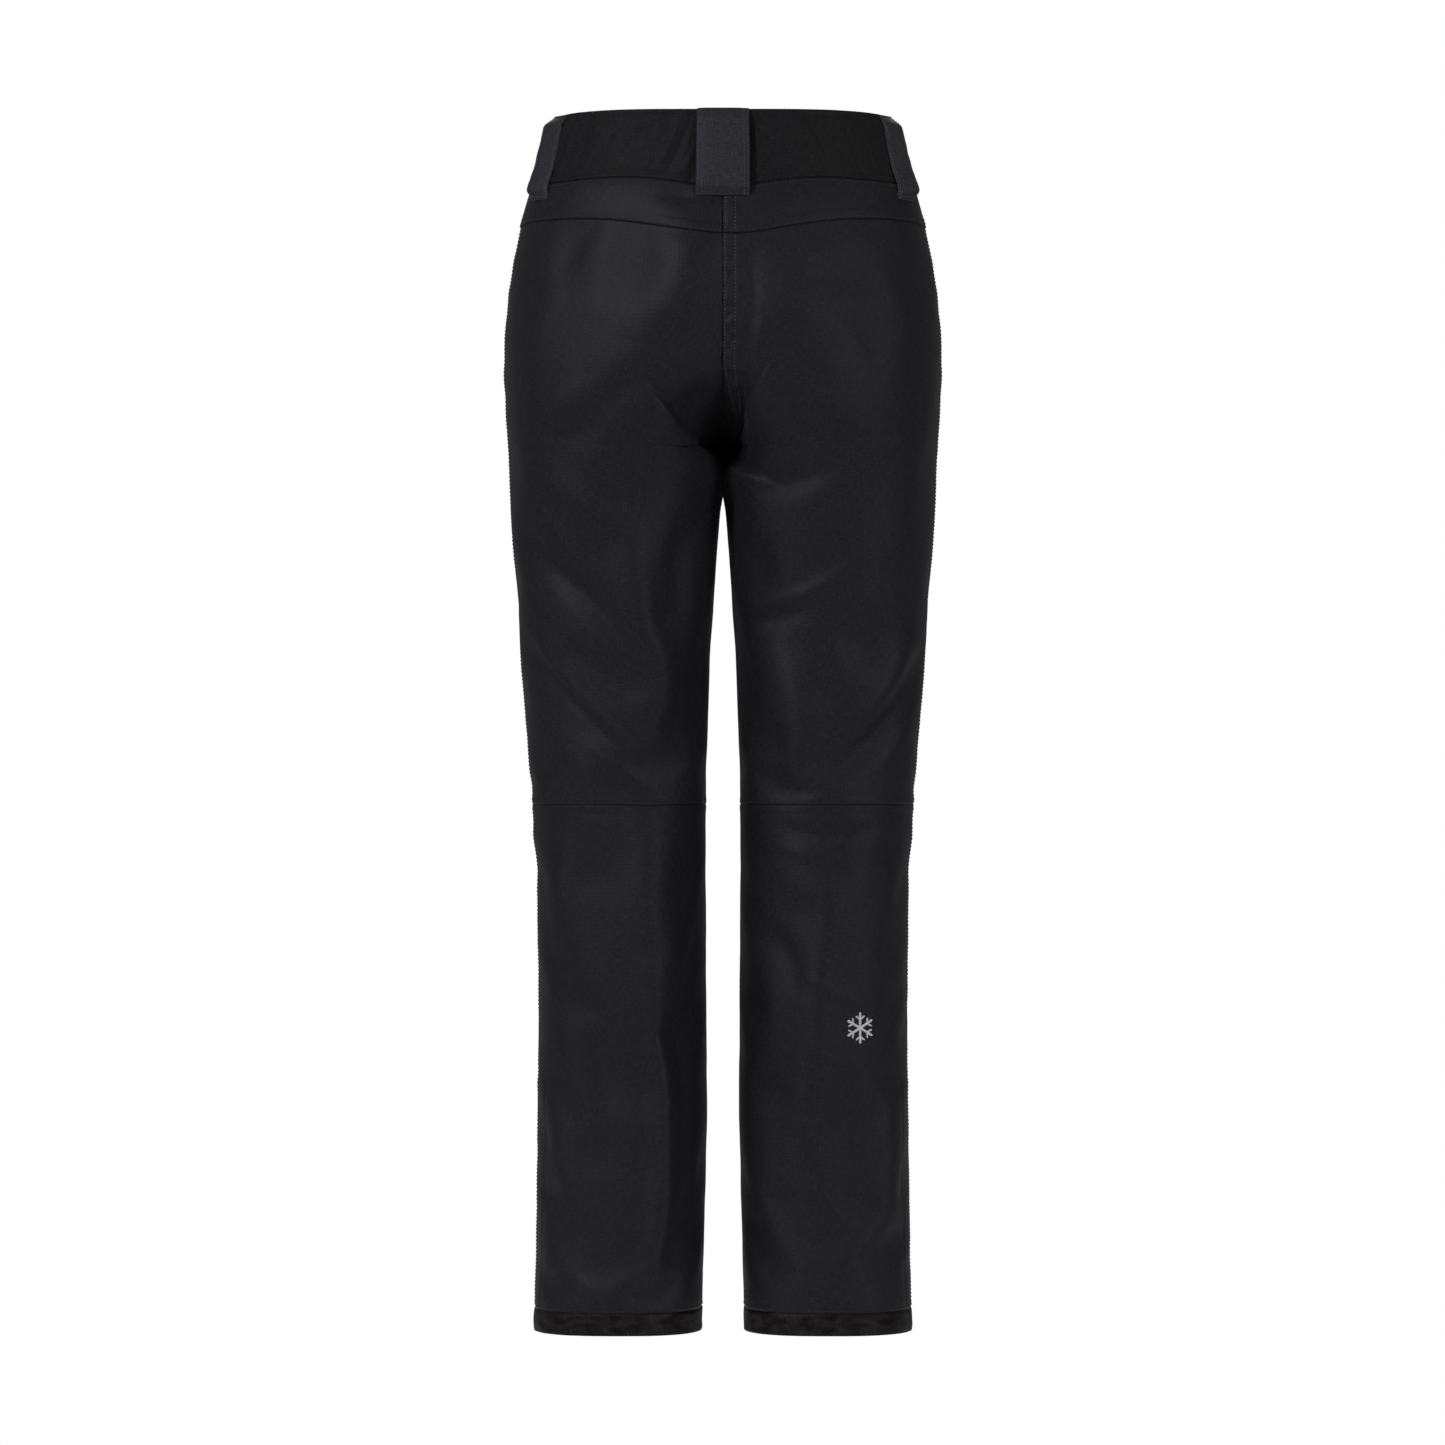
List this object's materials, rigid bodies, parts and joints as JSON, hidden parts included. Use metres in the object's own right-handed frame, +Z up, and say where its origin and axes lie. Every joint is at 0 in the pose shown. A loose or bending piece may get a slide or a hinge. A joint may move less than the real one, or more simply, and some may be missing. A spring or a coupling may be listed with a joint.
{
  "type": "ski pants",
  "caption": "Insulated ski pants with a yoked seat, elasticated waistband, wide belt loops, straight legs, zipped ankles and inner snow gaiters; the legs bend at hip and knee.",
  "frame": {"origin": "middle of the waist opening, half way up the waistband", "axes": "+Z up, the wearer faces -Y, the wearer's left is +X"},
  "size_m": [0.3836, 0.2484, 1.062],
  "materials": {
    "band_fabric": "matt stretch twill, elasticated at the back",
    "shell_fabric": "matt plain-woven shell fabric with a faint sheen",
    "quilted_lining": "quilted taffeta over thin wadding",
    "pocket_fabric": "matt tricot",
    "lower_leg_fabric": "matt plain-woven shell fabric",
    "gaiter_fabric": "smooth coated taffeta",
    "hem_fabric": "smooth coated fabric, slightly shiny",
    "zip_tape": "matt woven tape with coil teeth",
    "dark_metal": "gunmetal plated zinc",
    "loop_fabric": "matt woven fabric, double top-stitched",
    "embroidery_thread": "satin-stitched rayon thread"
  },
  "bodies": {
    "pelvis": {"waistband_back": "band_fabric", "waistband_front_left": "band_fabric", "back_yoke_left": "shell_fabric", "seat_panel_left": "shell_fabric", "hip_panel_front_left": "shell_fabric", "hip_crease_left": "shell_fabric", "seat_lining_left": "quilted_lining", "pocket_bag_left": "pocket_fabric", "pocket_left_zip_tape": "zip_tape", "waistband_front_right": "band_fabric", "back_yoke_right": "shell_fabric", "seat_panel_right": "shell_fabric", "hip_panel_front_right": "shell_fabric", "hip_crease_right": "shell_fabric", "seat_lining_right": "quilted_lining", "pocket_bag_right": "pocket_fabric", "pocket_right_zip_tape": "zip_tape", "fly_zip_tape": "zip_tape", "fly_shield": "pocket_fabric", "belt_loop_centre_back": "loop_fabric", "belt_loop_back_left": "loop_fabric", "belt_loop_front_left": "loop_fabric", "belt_loop_back_right": "loop_fabric", "belt_loop_front_right": "loop_fabric", "snap_stud_1": "dark_metal", "snap_stud_2": "dark_metal"},
    "thigh_left": {"thigh_panel_back_left": "shell_fabric", "thigh_panel_front_left": "shell_fabric", "thigh_lining_left": "quilted_lining", "knee_bend_left": "lower_leg_fabric"},
    "shin_left": {"shin_panel_back_left": "lower_leg_fabric", "shin_panel_front_left": "lower_leg_fabric", "shin_lining_left": "quilted_lining", "snow_gaiter_left": "gaiter_fabric", "hem_band_left": "hem_fabric", "ankle_left_zip_tape": "zip_tape"},
    "ankle_slider_left": {"ankle_left_zip_slider": "dark_metal"},
    "ankle_pull_left": {"ankle_left_zip_pull": "dark_metal"},
    "pocket_slider_left": {"pocket_left_zip_slider": "dark_metal"},
    "pocket_pull_left": {"pocket_left_zip_pull": "dark_metal"},
    "thigh_right": {"thigh_panel_back_right": "shell_fabric", "thigh_panel_front_right": "shell_fabric", "thigh_lining_right": "quilted_lining", "knee_bend_right": "lower_leg_fabric"},
    "shin_right": {"shin_panel_back_right": "lower_leg_fabric", "shin_panel_front_right": "lower_leg_fabric", "shin_lining_right": "quilted_lining", "snow_gaiter_right": "gaiter_fabric", "hem_band_right": "hem_fabric", "ankle_right_zip_tape": "zip_tape", "calf_embroidery": "embroidery_thread"},
    "ankle_slider_right": {"ankle_right_zip_slider": "dark_metal"},
    "ankle_pull_right": {"ankle_right_zip_pull": "dark_metal"},
    "pocket_slider_right": {"pocket_right_zip_slider": "dark_metal"},
    "pocket_pull_right": {"pocket_right_zip_pull": "dark_metal"},
    "fly_slider": {"fly_zip_slider": "dark_metal"},
    "fly_pull": {"fly_zip_pull": "dark_metal"},
    "waist_tab": {"waist_tab": "band_fabric", "snap_cap_1": "dark_metal", "snap_cap_2": "dark_metal"}
  },
  "joints": [
    {"name": "hip_left", "type": "hinge", "parent": "pelvis", "child": "thigh_left", "pos_m": [0.095, 0.002, -0.178], "axis": [-1, 0, 0], "range_deg": [-15, 60], "deforming": ["hip_crease_left"]},
    {"name": "knee_left", "type": "hinge", "parent": "thigh_left", "child": "shin_left", "pos_m": [0.089, 0.004, -0.596], "axis": [1, 0, 0], "range_deg": [0, 60], "deforming": ["knee_bend_left"]},
    {"name": "hip_right", "type": "hinge", "parent": "pelvis", "child": "thigh_right", "pos_m": [-0.095, 0.002, -0.178], "axis": [-1, 0, 0], "range_deg": [-15, 60], "deforming": ["hip_crease_right"]},
    {"name": "knee_right", "type": "hinge", "parent": "thigh_right", "child": "shin_right", "pos_m": [-0.089, 0.004, -0.596], "axis": [1, 0, 0], "range_deg": [0, 60], "deforming": ["knee_bend_right"]},
    {"name": "pocket_zip_left", "type": "slide", "parent": "pelvis", "child": "pocket_slider_left", "axis": [-0.345, -0.2347, 0.9088], "range_m": [-0.068, 0]},
    {"name": "pocket_zip_pull_left", "type": "hinge", "parent": "pocket_slider_left", "child": "pocket_pull_left", "pos_m": [0.15958, -0.06407, -0.07653], "axis": [-0.6175, -0.6724, -0.4081], "range_deg": [0, 150]},
    {"name": "ankle_zip_left", "type": "slide", "parent": "shin_left", "child": "ankle_slider_left", "axis": [-0.0268, 0.0137, 0.9995], "range_m": [0, 0.164]},
    {"name": "ankle_zip_pull_left", "type": "hinge", "parent": "ankle_slider_left", "child": "ankle_pull_left", "pos_m": [0.15856, -0.05784, -0.99581], "axis": [-0.56, -0.8285, -0.0037], "range_deg": [0, 150]},
    {"name": "pocket_zip_right", "type": "slide", "parent": "pelvis", "child": "pocket_slider_right", "axis": [0.345, -0.2347, 0.9088], "range_m": [-0.068, 0]},
    {"name": "pocket_zip_pull_right", "type": "hinge", "parent": "pocket_slider_right", "child": "pocket_pull_right", "pos_m": [-0.15958, -0.06407, -0.07653], "axis": [-0.6175, 0.6724, 0.4081], "range_deg": [0, 150]},
    {"name": "ankle_zip_right", "type": "slide", "parent": "shin_right", "child": "ankle_slider_right", "axis": [0.0268, 0.0137, 0.9995], "range_m": [0, 0.164]},
    {"name": "ankle_zip_pull_right", "type": "hinge", "parent": "ankle_slider_right", "child": "ankle_pull_right", "pos_m": [-0.15856, -0.05784, -0.99581], "axis": [-0.56, 0.8285, 0.0037], "range_deg": [0, 150]},
    {"name": "fly_zip", "type": "slide", "parent": "pelvis", "child": "fly_slider", "axis": [0, 0.0278, 0.9996], "range_m": [-0.082, 0]},
    {"name": "fly_zip_pull", "type": "hinge", "parent": "fly_slider", "child": "fly_pull", "pos_m": [0.00002, -0.10826, -0.06385], "axis": [-1, -0.0028, 0.0001], "range_deg": [0, 150]},
    {"name": "waist_tab_swing", "type": "hinge", "parent": "pelvis", "child": "waist_tab", "pos_m": [0.05831, -0.09665, -0.018], "axis": [0, 0, 1], "range_deg": [0, 110]}
  ]
}
